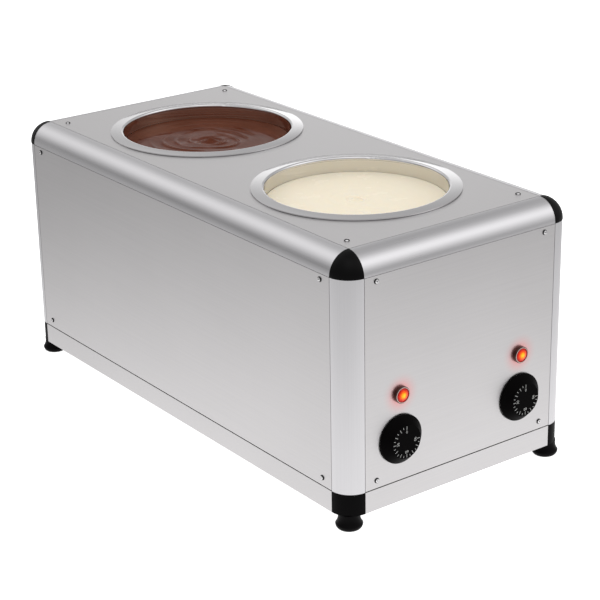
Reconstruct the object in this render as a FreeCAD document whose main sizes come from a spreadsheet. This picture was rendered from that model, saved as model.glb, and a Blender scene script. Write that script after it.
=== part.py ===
import FreeCAD, Part
import math
import os
import re
import Sketcher

# Two-pan chocolate melter: a steel box held in a frame of quarter-round aluminium profiles,
# with two round pans hanging in heated wells and two dial thermostats on the front panel.
#
# The origin lies on the ground under the middle of the body. +X is to the right and +Y to the
# rear as seen by a person who faces the dials, and +Z is up. All sizes are in millimetres.

SIZES = {
    # overall body
    "body_width": 265.0,
    "body_length": 550.0,
    "body_height": 260.0,
    "floor_clearance": 15.0,
    "plinth_height": 21.2,
    "sheet": 1.0,
    # quarter-round frame profiles
    "edge_radius": 21.0,
    "profile_wall": 2.0,
    "side_flange": 18.0,
    "top_flange": 15.5,
    "cope_gap": 0.4,
    "port_distance": 15.2,
    "port_radius": 2.3,
    "port_wall": 1.4,
    "panel_gap": 0.5,
    "seam_gap": 1.0,
    # corner caps and foot blocks
    "cap_proud": 0.4,
    "cap_thickness": 10.0,
    "pin_clearance": 0.1,
    "pin_length": 12.0,
    "block_lug": 12.0,
    # bell feet
    "foot_inset": 12.8,
    "foot_radius": 12.6,
    "foot_neck": 10.2,
    "foot_flare": 4.4,
    "foot_sole": 10.4,
    "foot_collar": 1.5,
    "stud_radius": 3.0,
    "stud_length": 11.0,
    "stud_clearance": 0.2,
    # panel screws
    "screw_radius": 1.5,
    "screw_clearance": 0.1,
    "screw_head": 2.6,
    "screw_dome": 1.5,
    "screw_land": 0.1,
    "screw_length": 7.0,
    "end_screw_inset": 13.3,
    "side_screw_inset": 13.8,
    "top_screw_across": 11.6,
    "top_screw_along": 17.2,
    "screw_drop": 5.6,
    "screw_rise": 8.0,
    # pans
    "pan_spacing": 248.0,
    "pan_radius": 86.3,
    "pan_depth": 135.0,
    "pan_taper": 3.0,
    "pan_corner": 22.0,
    "pan_sheet": 1.0,
    "pan_bead": 0.8,
    "rim_roll": 2.2,
    "rim_slope": 10.8,
    "rim_lift": 0.3,
    # wells
    "well_clearance": 1.4,
    "well_sheet": 1.0,
    "well_flange": 4.5,
    "well_bottom_gap": 12.0,
    "well_corner": 15.0,
    # melted chocolate
    "dark_level": 12.4,
    "white_level": 13.0,
    "fill_clearance": 0.3,
    # band heaters
    "band_thickness": 2.5,
    "band_height": 60.0,
    "band_top": 60.0,
    "band_slot": 4.0,
    "band_ear": 12.0,
    "band_seat": 0.3,
    "bolt_radius": 2.0,
    "bolt_clearance": 0.1,
    "bolt_head": 3.6,
    "bolt_head_height": 2.8,
    "bolt_inset": 12.0,
    # dial knobs and thermostats
    "knob_inset": 61.0,
    "knob_height": 77.5,
    "knob_skirt": 23.3,
    "knob_face": 17.2,
    "knob_depth": 9.4,
    "knob_wall": 2.0,
    "knob_edge": 1.2,
    "knob_standoff": 0.8,
    "knob_hub": 6.0,
    "spindle_radius": 3.0,
    "spindle_flat": 2.2,
    "spindle_reach": 6.5,
    "spindle_depth": 10.0,
    "spindle_clearance": 0.05,
    "bushing_radius": 5.0,
    "bushing_reach": 0.4,
    "bushing_clearance": 0.3,
    "thermostat_width": 34.0,
    "thermostat_height": 34.0,
    "thermostat_depth": 26.0,
    "thermostat_corner": 3.0,
    "fixing_pitch": 28.0,
    # thermostat bulbs under the wells
    "bulb_shift": 11.5,
    "bulb_radius": 3.0,
    "bulb_length": 70.0,
    "bulb_gap": 0.3,
    "capillary_radius": 1.0,
    "capillary_inset": 12.0,
    "capillary_bend": 5.0,
    "capillary_drop": 4.0,
    "capillary_lead": 10.0,
    # pilot lamps
    "lamp_inset": 61.5,
    "lamp_height": 120.5,
    "bezel_radius": 8.0,
    "bezel_height": 3.6,
    "bezel_wall": 1.1,
    "bezel_floor": 1.0,
    "bezel_round": 0.8,
    "lens_gap": 0.1,
    "lens_recess": 0.7,
    "lens_dome": 2.0,
    "lamp_radius": 5.0,
    "lamp_length": 30.0,
    "lamp_clearance": 0.2,
    "lamp_nut_radius": 8.0,
    "lamp_nut_height": 3.0,
    # mains cable gland and terminal block
    "gland_inset": 70.5,
    "gland_height": 69.7,
    "gland_collar": 11.0,
    "gland_collar_height": 3.4,
    "gland_nose": 6.6,
    "gland_reach": 9.4,
    "gland_thread": 7.8,
    "gland_thread_length": 14.0,
    "gland_bore": 3.8,
    "gland_nut_height": 5.0,
    "gland_nut_radius": 12.0,
    "gland_clearance": 0.2,
    "block_inset": 61.0,
    "block_length": 46.0,
    "block_width": 22.0,
    "block_height": 17.0,
    "wire_hole": 2.4,
    "wire_pitch": 14.0,
    # ventilation slots in the base
    "vent_length": 90.0,
    "vent_width": 5.0,
    "vent_pitch": 18.0,
    "vent_count": 7.0,
}

# Heights above the ground and half sizes that several pieces share
SEAM = "(floor_clearance + plinth_height)"
HALF_WIDTH = "(body_width / 2)"
HALF_LENGTH = "(body_length / 2)"
CORNER_X = "(body_width / 2 - edge_radius)"
CORNER_Y = "(body_length / 2 - edge_radius)"
CORNER_Z = "(body_height - edge_radius)"
PORT = "(port_distance * sqrt(0.5))"
RECESS = "(edge_radius - sheet)"
NOSE_BORE = "(edge_radius - sheet - profile_wall)"
WELL_RADIUS = "(pan_radius + pan_sheet + pan_bead + well_clearance)"
WELL_DEPTH = "(pan_depth + pan_sheet + well_bottom_gap)"
WELL_OUTSIDE = "(body_height - pan_depth - pan_sheet - well_bottom_gap - well_sheet)"
KNOB_X = "(body_width / 2 - knob_inset)"
LAMP_X = "(body_width / 2 - lamp_inset)"
GLAND_X = "(body_width / 2 - gland_inset)"

# Turns that lay a piece's own Z along a side's outward normal, with its own Y upward
AXIS_X = FreeCAD.Vector(1, 0, 0)
AXIS_Z = FreeCAD.Vector(0, 0, 1)
UPRIGHT = FreeCAD.Rotation(AXIS_X, 90)
FRONT = UPRIGHT
REAR = FreeCAD.Rotation(AXIS_Z, 180) * UPRIGHT
LEFT = FreeCAD.Rotation(AXIS_Z, -90) * UPRIGHT
RIGHT = FreeCAD.Rotation(AXIS_Z, 90) * UPRIGHT
FLAT = FreeCAD.Rotation()

# The four corners: name, sign of X, sign of Y and the turn of a piece drawn for +X +Y
CORNERS = (
    ("front_left", -1, -1, 180),
    ("front_right", 1, -1, -90),
    ("rear_left", -1, 1, 90),
    ("rear_right", 1, 1, 0),
)
SIDES = (("left", -1), ("right", 1))
PANS = (("front", -1), ("rear", 1))

doc = FreeCAD.newDocument("ChocolateMelter")
sheet = doc.addObject("Spreadsheet::Sheet", "Sizes")
for row, (alias, size) in enumerate(SIZES.items(), start=1):
    sheet.set(f"A{row}", alias)
    sheet.set(f"B{row}", str(size))
    sheet.setAlias(f"B{row}", alias)
doc.recompute()

parts = []
cuts = []


def formula(text):
    """Point the size names in a formula at the cells of the sheet."""
    return re.sub(r"[a-z][a-z_]*", lambda m: f"Sizes.{m[0]}" if m[0] in SIZES else m[0], str(text))


def number(text):
    """Work out a formula in millimetres."""
    result = sheet.evalExpression(formula(text))
    return float(getattr(result, "Value", result))


def new_body(name, x="0", y="0", z="0", turn=FLAT):
    """Start a piece whose own origin lies at the given place."""
    body = doc.addObject("PartDesign::Body", name)
    body.Label = name
    body.Placement = FreeCAD.Placement(FreeCAD.Vector(number(x), number(y), number(z)), turn)
    for axis, place in (("x", x), ("y", y), ("z", z)):
        body.setExpression(f"Placement.Base.{axis}", formula(place))
    parts.append(body)
    return body


def new_sketch(body, plane="XY_Plane", lift="0"):
    """Add an empty sketch on an origin plane of the body, raised along the plane's normal."""
    sketch = body.newObject("Sketcher::SketchObject", f"{body.Name}_sketch")
    support = next(item for item in body.Origin.OriginFeatures if item.Role == plane)
    sketch.AttachmentSupport = (support, [""])
    sketch.MapMode = "FlatFace"
    if lift != "0":
        sketch.setExpression("AttachmentOffset.Base.z", formula(lift))
    return sketch


def hold_point(sketch, edge, vertex, x, y):
    """Fix a point of the sketch at a place given by two formulas."""
    for kind, place, axis in (("DistanceX", x, -2), ("DistanceY", y, -1)):
        if place == "0":
            sketch.addConstraint(Sketcher.Constraint("PointOnObject", edge, vertex, axis))
        else:
            rule = Sketcher.Constraint(kind, -1, 1, edge, vertex, number(place))
            index = sketch.addConstraint(rule)
            sketch.setExpression(f"Constraints[{index}]", formula(place))


def hold_radius(sketch, edge, radius):
    """Fix the radius of an arc or circle by a formula."""
    index = sketch.addConstraint(Sketcher.Constraint("Radius", edge, number(radius)))
    sketch.setExpression(f"Constraints[{index}]", formula(radius))


def circle(sketch, x, y, radius):
    """Draw a circle."""
    centre = FreeCAD.Vector(number(x), number(y), 0)
    edge = sketch.addGeometry(Part.Circle(centre, AXIS_Z, number(radius)))
    hold_point(sketch, edge, 3, x, y)
    hold_radius(sketch, edge, radius)


def line(sketch, start_x, start_y, end_x, end_y):
    """Draw one straight run of an open path."""
    start = FreeCAD.Vector(number(start_x), number(start_y), 0)
    end = FreeCAD.Vector(number(end_x), number(end_y), 0)
    edge = sketch.addGeometry(Part.LineSegment(start, end))
    hold_point(sketch, edge, 1, start_x, start_y)
    hold_point(sketch, edge, 2, end_x, end_y)


def arc_between(start, end, radius, side):
    """Make an arc of less than half a turn whose centre lies to the left (1) or right (-1)."""
    chord = end - start
    across = FreeCAD.Vector(-chord.y, chord.x, 0).normalize()
    centre = (start + end) * 0.5
    centre += across * side * math.sqrt(max(radius**2 - chord.Length**2 / 4, 0))
    ends = (start, end) if side > 0 else (end, start)
    angles = [math.atan2(point.y - centre.y, point.x - centre.x) for point in ends]
    return Part.ArcOfCircle(Part.Circle(centre, AXIS_Z, radius), *angles)


def bend(sketch, start_x, start_y, end_x, end_y, radius, side):
    """Draw one arc of an open path."""
    start = FreeCAD.Vector(number(start_x), number(start_y), 0)
    end = FreeCAD.Vector(number(end_x), number(end_y), 0)
    edge = sketch.addGeometry(arc_between(start, end, number(radius), side))
    first, last = (1, 2) if side > 0 else (2, 1)
    hold_point(sketch, edge, first, start_x, start_y)
    hold_point(sketch, edge, last, end_x, end_y)
    hold_radius(sketch, edge, radius)


def outline(sketch, corners):
    """Draw a closed outline through the corners.

    A corner is (x, y), reached along a straight line, or (x, y, radius, side), reached along
    an arc of less than half a turn, whose centre lies to the left (1) or right (-1).
    """
    points = [FreeCAD.Vector(number(corner[0]), number(corner[1]), 0) for corner in corners]
    ends = []
    for index, corner in enumerate(corners):
        start = points[index - 1]
        end = points[index]
        if len(corner) == 2:
            edge = sketch.addGeometry(Part.LineSegment(start, end))
            ends.append((edge, 1, 2))
            continue
        side = corner[3]
        edge = sketch.addGeometry(arc_between(start, end, number(corner[2]), side))
        ends.append((edge, 1, 2) if side > 0 else (edge, 2, 1))
    for index, corner in enumerate(corners):
        edge, _, last = ends[index]
        following, first, _ = ends[(index + 1) % len(ends)]
        sketch.addConstraint(Sketcher.Constraint("Coincident", edge, last, following, first))
        hold_point(sketch, edge, last, corner[0], corner[1])
        if len(corner) > 2:
            hold_radius(sketch, edge, corner[2])


def rectangle(sketch, left, low, right, high):
    """Draw an upright rectangle."""
    outline(sketch, [(left, low), (right, low), (right, high), (left, high)])


def hexagon(sketch, x, y, radius):
    """Draw a hexagon with two corners level with its centre."""
    half = f"({radius}) / 2"
    wide = f"({radius}) * sqrt(0.75)"
    outline(sketch, [
        (f"{x} + {radius}", y),
        (f"{x} + {half}", f"{y} + {wide}"),
        (f"{x} - {half}", f"{y} + {wide}"),
        (f"{x} - {radius}", y),
        (f"{x} - {half}", f"{y} - {wide}"),
        (f"{x} + {half}", f"{y} - {wide}"),
    ])


def pad(body, sketch, length, reverse=False, midplane=False):
    """Raise a sketch into solid."""
    feature = body.newObject("PartDesign::Pad", f"{body.Name}_pad")
    feature.Profile = sketch
    feature.setExpression("Length", formula(length))
    feature.Reversed = reverse
    feature.Midplane = midplane
    return feature


def cut(body, sketch, length, reverse=False):
    """Cut a sketch out of the solid, against the sketch's normal unless reversed."""
    feature = body.newObject("PartDesign::Pocket", f"{body.Name}_cut")
    feature.Profile = sketch
    feature.setExpression("Length", formula(length))
    feature.Reversed = reverse
    cuts.append(feature)
    return feature


def revolve(body, sketch, angle=360.0, axis="V_Axis"):
    """Turn a sketch about one of its own axes."""
    feature = body.newObject("PartDesign::Revolution", f"{body.Name}_turned")
    feature.Profile = sketch
    feature.ReferenceAxis = (sketch, [axis])
    feature.Angle = angle
    return feature


def rim_at(edge, height):
    """Tell whether an edge lies level at a height above the piece's own origin."""
    box = edge.BoundBox
    return abs(box.ZMin - number(height)) < 0.001 and box.ZLength < 0.001


def upright_edge(edge):
    """Tell whether an edge runs straight along the piece's own Z."""
    box = edge.BoundBox
    return box.ZLength > 0.001 and max(box.XLength, box.YLength) < 0.001


def round_edges(body, base, radius, chosen):
    """Fillet the edges of the last feature that a test chooses."""
    doc.recompute()
    names = [f"Edge{index}" for index, edge in enumerate(base.Shape.Edges, start=1) if chosen(edge)]
    fillet = body.newObject("PartDesign::Fillet", f"{body.Name}_fillet")
    fillet.Base = (base, names)
    fillet.setExpression("Radius", formula(radius))
    return fillet


def profile(name, turn, place, nose_length, side_length, top_length, top_width):
    """Make one quarter-round extrusion, centred on its own origin and running along its own Z."""
    body = new_body(name, *place, turn)
    # the quarter-round nose between the two panel planes
    nose = new_sketch(body)
    outline(nose, [
        ("edge_radius", "0"),
        ("0", "edge_radius", "edge_radius", 1),
        ("0", NOSE_BORE),
        (NOSE_BORE, "0", NOSE_BORE, -1),
    ])
    pad(body, nose, nose_length, midplane=True)
    # flanges behind the panels, set back by the thickness of the sheet
    side = new_sketch(body)
    rectangle(side, NOSE_BORE, "-side_flange", RECESS, "sheet")
    pad(body, side, side_length, midplane=True)
    top = new_sketch(body)
    rectangle(top, f"-{top_width}", NOSE_BORE, "sheet", RECESS)
    pad(body, top, top_length, midplane=True)
    # screw port that takes the pins of the caps and foot blocks
    port = new_sketch(body)
    circle(port, PORT, PORT, "port_radius + port_wall")
    pad(body, port, nose_length, midplane=True)
    bore = new_sketch(body, lift=f"{nose_length} / 2")
    circle(bore, PORT, PORT, "port_radius")
    cut(body, bore, nose_length)
    return body


def make_posts():
    """Corner posts between the foot blocks and the caps, drilled for the panel screws."""
    height = f"({CORNER_Z} - {SEAM})"
    rows = (f"{height} / 2 - screw_drop", f"screw_rise - {height} / 2")
    for name, sign_x, sign_y, turn in CORNERS:
        place = (f"{sign_x} * {CORNER_X}", f"{sign_y} * {CORNER_Y}", f"({CORNER_Z} + {SEAM}) / 2")
        rotation = FreeCAD.Rotation(AXIS_Z, turn)
        post = profile(f"post_{name}", rotation, place, height, height, height, "side_flange")
        # the flange drawn along X lies behind an end panel on two posts and a side panel on two
        along_x, along_y = "end_screw_inset", "side_screw_inset"
        if turn in (90, -90):
            along_x, along_y = along_y, along_x
        for plane, inset in (("XZ_Plane", along_x), ("YZ_Plane", along_y)):
            holes = new_sketch(post, plane)
            for row in rows:
                circle(holes, f"-{inset}", row, "screw_radius + screw_clearance")
            cut(post, holes, "edge_radius", reverse=plane == "YZ_Plane")


def make_rails():
    """Top rails between the caps, with flanges coped back where they meet the next profile."""
    across = f"(2 * {CORNER_X})"
    along = f"(2 * {CORNER_Y})"
    end_cope = "2 * (side_flange + cope_gap)"
    top_cope = "2 * (top_flange + cope_gap)"
    for name, sign, turn in (("front", -1, -90), ("rear", 1, 90)):
        rotation = FreeCAD.Rotation(AXIS_Z, turn) * UPRIGHT
        place = ("0", f"{sign} * {CORNER_Y}", CORNER_Z)
        profile(f"rail_{name}", rotation, place, across, f"{across} - {end_cope}",
                f"{across} - {top_cope}", "top_flange")
    for name, sign, turn in (("left", -1, 180), ("right", 1, 0)):
        rotation = FreeCAD.Rotation(AXIS_Z, turn) * UPRIGHT
        place = (f"{sign} * {CORNER_X}", "0", CORNER_Z)
        rail = profile(f"rail_{name}", rotation, place, along, f"{along} - {end_cope}",
                       along, "top_flange")
        holes = new_sketch(rail, "XZ_Plane")
        for end in ("", "-"):
            circle(holes, "-top_screw_across", f"{end}({CORNER_Y} - top_screw_along)",
                   "screw_radius + screw_clearance")
        cut(rail, holes, "edge_radius")


def make_caps():
    """Corner caps, an eighth of a thick ball each, with a pin into each of three profiles."""
    for name, sign_x, sign_y, turn in CORNERS:
        place = (f"{sign_x} * {CORNER_X}", f"{sign_y} * {CORNER_Y}", CORNER_Z)
        cap = new_body(f"cap_{name}", *place, FreeCAD.Rotation(AXIS_Z, turn))
        outside = "edge_radius + cap_proud"
        inside = "edge_radius + cap_proud - cap_thickness"
        section = new_sketch(cap, "XZ_Plane")
        outline(section, [
            (outside, "0"),
            ("0", outside, outside, 1),
            ("0", inside),
            (inside, "0", inside, -1),
        ])
        revolve(cap, section, 90.0)
        for plane in ("XY_Plane", "XZ_Plane", "YZ_Plane"):
            pin = new_sketch(cap, plane)
            circle(pin, PORT, PORT, "port_radius - pin_clearance")
            pad(cap, pin, "pin_length", reverse=plane != "XZ_Plane")


def make_foot_blocks():
    """Corner blocks of the plinth, with the posts' outline and a lug behind the plinth walls."""
    for name, sign_x, sign_y, turn in CORNERS:
        place = (f"{sign_x} * {CORNER_X}", f"{sign_y} * {CORNER_Y}", "floor_clearance")
        block = new_body(f"foot_block_{name}", *place, FreeCAD.Rotation(AXIS_Z, turn))
        section = new_sketch(block)
        outline(section, [
            ("edge_radius", "0"),
            ("0", "edge_radius", "edge_radius", 1),
            ("0", RECESS),
            ("-block_lug", RECESS),
            ("-block_lug", "-block_lug"),
            (RECESS, "-block_lug"),
            (RECESS, "0"),
        ])
        pad(block, section, "plinth_height")
        pin = new_sketch(block, lift="plinth_height")
        circle(pin, PORT, PORT, "port_radius - pin_clearance")
        pad(block, pin, "pin_length")
        hole = new_sketch(block)
        centre = "edge_radius - foot_inset"
        circle(hole, centre, centre, "stud_radius + stud_clearance")
        cut(block, hole, "stud_length + stud_clearance", reverse=True)


def make_feet():
    """Bell feet that screw into the foot blocks."""
    for name, sign_x, sign_y, _ in CORNERS:
        place = (
            f"{sign_x} * ({HALF_WIDTH} - foot_inset)",
            f"{sign_y} * ({HALF_LENGTH} - foot_inset)",
            "0",
        )
        foot = new_body(f"foot_{name}", *place)
        section = new_sketch(foot, "XZ_Plane")
        skirt = "foot_radius - foot_sole"
        outline(section, [
            ("0", "0"),
            ("foot_sole", "0"),
            ("foot_radius", "foot_flare", f"({skirt}) / 2 + foot_flare^2 / (2 * ({skirt}))", 1),
            ("foot_neck", "floor_clearance - foot_collar", "foot_radius", -1),
            ("foot_neck", "floor_clearance"),
            ("stud_radius", "floor_clearance"),
            ("stud_radius", "floor_clearance + stud_length"),
            ("0", "floor_clearance + stud_length"),
        ])
        revolve(foot, section)


def make_base_tray():
    """Folded base sheet with upright plinth walls, notched at the corners for the foot blocks."""
    tray = new_body("base_tray", z="floor_clearance")
    floor = new_sketch(tray)
    notch_x = f"({CORNER_X} - block_lug - panel_gap)"
    notch_y = f"({CORNER_Y} - block_lug - panel_gap)"
    outline(floor, [
        (notch_x, f"-{HALF_LENGTH}"),
        (notch_x, f"-{notch_y}"),
        (HALF_WIDTH, f"-{notch_y}"),
        (HALF_WIDTH, notch_y),
        (notch_x, notch_y),
        (notch_x, HALF_LENGTH),
        (f"-{notch_x}", HALF_LENGTH),
        (f"-{notch_x}", notch_y),
        (f"-{HALF_WIDTH}", notch_y),
        (f"-{HALF_WIDTH}", f"-{notch_y}"),
        (f"-{notch_x}", f"-{notch_y}"),
        (f"-{notch_x}", f"-{HALF_LENGTH}"),
    ])
    pad(tray, floor, "sheet")
    walls = new_sketch(tray)
    end_x = f"({CORNER_X} - panel_gap)"
    end_y = f"({CORNER_Y} - panel_gap)"
    rectangle(walls, f"-{end_x}", f"-{HALF_LENGTH}", end_x, f"-({HALF_LENGTH} - sheet)")
    rectangle(walls, f"-{end_x}", f"{HALF_LENGTH} - sheet", end_x, HALF_LENGTH)
    rectangle(walls, f"-{HALF_WIDTH}", f"-{end_y}", f"-({HALF_WIDTH} - sheet)", end_y)
    rectangle(walls, f"{HALF_WIDTH} - sheet", f"-{end_y}", HALF_WIDTH, end_y)
    pad(tray, walls, "plinth_height - seam_gap / 2")
    slot = new_sketch(tray)
    first = "(vent_pitch * (vent_count - 1) / 2)"
    rectangle(slot, "-vent_length / 2", f"-{first} - vent_width / 2", "vent_length / 2",
              f"-{first} + vent_width / 2")
    opened = cut(tray, slot, "sheet", reverse=True)
    doc.recompute()
    vents = tray.newObject("PartDesign::LinearPattern", "vents")
    vents.Originals = [opened]
    vents.Direction = (slot, ["V_Axis"])
    vents.setExpression("Length", formula("vent_pitch * (vent_count - 1)"))
    vents.setExpression("Occurrences", formula("vent_count"))
    tray.Tip = vents


def screw_places(half_width, low, high, inset):
    """List the four screw places of a panel in its own X and Y."""
    across = f"({half_width} - {inset})"
    return [(f"{sign}{across}", row) for sign in ("-", "") for row in (low, high)]


def screw_group(name, place, turn, places):
    """Make the round-headed screws of one panel as one group of separate solids."""
    group = new_body(name, *place, turn)
    group.AllowCompound = True
    shanks = new_sketch(group)
    heads = new_sketch(group)
    for x, y in places:
        circle(shanks, x, y, "screw_radius")
        circle(heads, x, y, "screw_head")
    pad(group, shanks, "screw_length", reverse=True)
    top = pad(group, heads, "screw_dome")
    round_edges(group, top, "screw_dome - screw_land", lambda edge: rim_at(edge, "screw_dome"))


def make_panels():
    """Sheet panels that stand between the profiles, with the holes for what passes through."""
    end_half = f"({CORNER_X} - panel_gap)"
    side_half = f"({CORNER_Y} - panel_gap)"
    low = f"({SEAM} + seam_gap / 2)"
    high = f"({CORNER_Z} - panel_gap)"
    screw_low = f"({SEAM} + screw_rise)"
    screw_high = f"({CORNER_Z} - screw_drop)"
    end_screws = screw_places(CORNER_X, screw_low, screw_high, "end_screw_inset")
    side_screws = screw_places(CORNER_Y, screw_low, screw_high, "side_screw_inset")
    # two screws under each dial hold its thermostat
    fixings = [(f"{side}{KNOB_X} {way} fixing_pitch / 2", "knob_height")
               for side in ("-", "") for way in "+-"]
    upright = (
        ("front", ("0", f"-{HALF_LENGTH}", "0"), FRONT, end_half, end_screws),
        ("rear", ("0", HALF_LENGTH, "0"), REAR, end_half, end_screws),
        ("left", (f"-{HALF_WIDTH}", "0", "0"), LEFT, side_half, side_screws),
        ("right", (HALF_WIDTH, "0", "0"), RIGHT, side_half, side_screws),
    )
    for name, place, turn, half, screws in upright:
        panel = new_body(f"panel_{name}", *place, turn)
        face = new_sketch(panel)
        rectangle(face, f"-{half}", low, half, high)
        pad(panel, face, "sheet", reverse=True)
        holes = new_sketch(panel)
        for x, y in screws:
            circle(holes, x, y, "screw_radius + screw_clearance")
        if name == "front":
            for sign in ("-", ""):
                circle(holes, f"{sign}{KNOB_X}", "knob_height", "bushing_radius + bushing_clearance")
                circle(holes, f"{sign}{LAMP_X}", "lamp_height", "lamp_radius + lamp_clearance")
            for x, y in fixings:
                circle(holes, x, y, "screw_radius + screw_clearance")
            screw_group("screws_thermostat", place, turn, fixings)
        if name == "rear":
            circle(holes, f"-{GLAND_X}", "gland_height", "gland_thread + gland_clearance")
        cut(panel, holes, "sheet")
        screw_group(f"screws_{name}", place, turn, screws)
    top = new_body("panel_top", z="body_height")
    face = new_sketch(top)
    rectangle(face, f"-{end_half}", f"-{side_half}", end_half, side_half)
    pad(top, face, "sheet", reverse=True)
    reach = f"({CORNER_Y} - top_screw_along)"
    screws = screw_places(CORNER_X, f"-{reach}", reach, "top_screw_across")
    holes = new_sketch(top)
    for x, y in screws:
        circle(holes, x, y, "screw_radius + screw_clearance")
    for sign in ("-", ""):
        circle(holes, "0", f"{sign}pan_spacing / 2", WELL_RADIUS)
    cut(top, holes, "sheet")
    screw_group("screws_top", ("0", "0", "body_height"), FLAT, screws)


def make_wells():
    """Round wells under the holes in the top panel, each welded to it by a flange."""
    inside = WELL_RADIUS
    outside = f"({WELL_RADIUS} + well_sheet)"
    floor = f"-{WELL_DEPTH}"
    for name, sign in PANS:
        well = new_body(f"well_{name}", "0", f"{sign} * pan_spacing / 2", "body_height")
        section = new_sketch(well, "XZ_Plane")
        outline(section, [
            ("0", floor),
            (f"{inside} - well_corner", floor),
            (inside, f"{floor} + well_corner", "well_corner", 1),
            (inside, "-sheet"),
            (f"{outside} + well_flange", "-sheet"),
            (f"{outside} + well_flange", "-sheet - well_sheet"),
            (outside, "-sheet - well_sheet"),
            (outside, f"{floor} + well_corner"),
            (f"{inside} - well_corner", f"{floor} - well_sheet", "well_corner + well_sheet", -1),
            ("0", f"{floor} - well_sheet"),
        ])
        revolve(well, section)


def make_heaters():
    """Band heaters clamped round the wells, each with a slot between two clamping ears."""
    inside = f"({WELL_RADIUS} + well_sheet + band_seat)"
    outside = f"({inside} + band_thickness)"
    for name, sign in PANS:
        place = ("0", f"{sign} * pan_spacing / 2", "body_height - band_top - band_height")
        band = new_body(f"heater_band_{name}", *place)
        ring = new_sketch(band)
        circle(ring, "0", "0", outside)
        circle(ring, "0", "0", inside)
        pad(band, ring, "band_height")
        ears = new_sketch(band)
        rectangle(ears, f"{inside} + band_thickness / 2", "-band_slot / 2 - band_thickness",
                  f"{outside} + band_ear", "band_slot / 2 + band_thickness")
        pad(band, ears, "band_height")
        slot = new_sketch(band)
        rectangle(slot, f"{inside} / 2", "-band_slot / 2", f"{outside} + 2 * band_ear", "band_slot / 2")
        cut(band, slot, "band_height", reverse=True)
        # clamping bolts through both ears, near their upper and lower ends
        rows = ("bolt_inset", "band_height - bolt_inset")
        bolt_x = f"({outside} + band_ear / 2)"
        ear_face = "(band_slot / 2 + band_thickness)"
        holes = new_sketch(band, "XZ_Plane", lift=ear_face)
        for row in rows:
            circle(holes, bolt_x, row, "bolt_radius + bolt_clearance")
        cut(band, holes, f"2 * {ear_face}")
        bolts = new_body(f"heater_bolts_{name}", *place)
        bolts.AllowCompound = True
        shanks = new_sketch(bolts, "XZ_Plane")
        for row in rows:
            circle(shanks, bolt_x, row, "bolt_radius")
        pad(bolts, shanks, f"2 * {ear_face}", midplane=True)
        for side, reverse in (("", False), ("-", True)):
            heads = new_sketch(bolts, "XZ_Plane", lift=f"{side}{ear_face}")
            for row in rows:
                hexagon(heads, bolt_x, row, "bolt_head")
            pad(bolts, heads, "bolt_head_height", reverse=reverse)


def make_pans():
    """Deep-drawn pans with a rolled rim, and the melted chocolate that each one holds."""
    crest = "(pan_radius + rim_roll)"
    fall = "(rim_roll - pan_sheet - rim_lift)"
    slope = f"((rim_slope^2 + {fall}^2) / (2 * {fall}))"
    foot = "(pan_radius - pan_taper)"
    floor = "-pan_depth"
    step = "(2 * pan_bead)"
    for name, sign in PANS:
        pan = new_body(f"pan_{name}", "0", f"{sign} * pan_spacing / 2", "body_height")
        section = new_sketch(pan, "XZ_Plane")
        outline(section, [
            ("0", floor),
            (f"{foot} - pan_corner", floor),
            (foot, f"{floor} + pan_corner", "pan_corner", 1),
            ("pan_radius + pan_bead", f"-{step}"),
            ("pan_radius", "-pan_bead"),
            ("pan_radius", "0"),
            (crest, "rim_roll", "rim_roll", -1),
            (f"{crest} + rim_slope", "rim_lift + pan_sheet", slope, -1),
            (f"{crest} + rim_slope", "rim_lift"),
            (crest, "rim_roll - pan_sheet", slope, 1),
            ("pan_radius + pan_sheet", "0", "rim_roll - pan_sheet", 1),
            ("pan_radius + pan_sheet", "-pan_bead"),
            ("pan_radius + pan_sheet + pan_bead", f"-{step}"),
            (f"{foot} + pan_sheet", f"{floor} + pan_corner"),
            (f"{foot} - pan_corner", f"{floor} - pan_sheet", "pan_corner + pan_sheet", -1),
            ("0", f"{floor} - pan_sheet"),
        ])
        revolve(pan, section)
    wall_lean = f"((pan_taper + pan_bead) / (pan_depth - pan_corner - {step}))"
    for name, sign, level in (("white_chocolate", -1, "white_level"), ("dark_chocolate", 1, "dark_level")):
        fill = new_body(name, "0", f"{sign} * pan_spacing / 2", "body_height")
        section = new_sketch(fill, "XZ_Plane")
        edge = f"pan_radius + pan_bead - fill_clearance - ({level} - {step}) * {wall_lean}"
        outline(section, [
            ("0", f"{floor} + fill_clearance"),
            (f"{foot} - pan_corner", f"{floor} + fill_clearance"),
            (f"{foot} - fill_clearance", f"{floor} + pan_corner", "pan_corner - fill_clearance", 1),
            (edge, f"-{level}"),
            ("0", f"-{level}"),
        ])
        revolve(fill, section)


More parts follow.
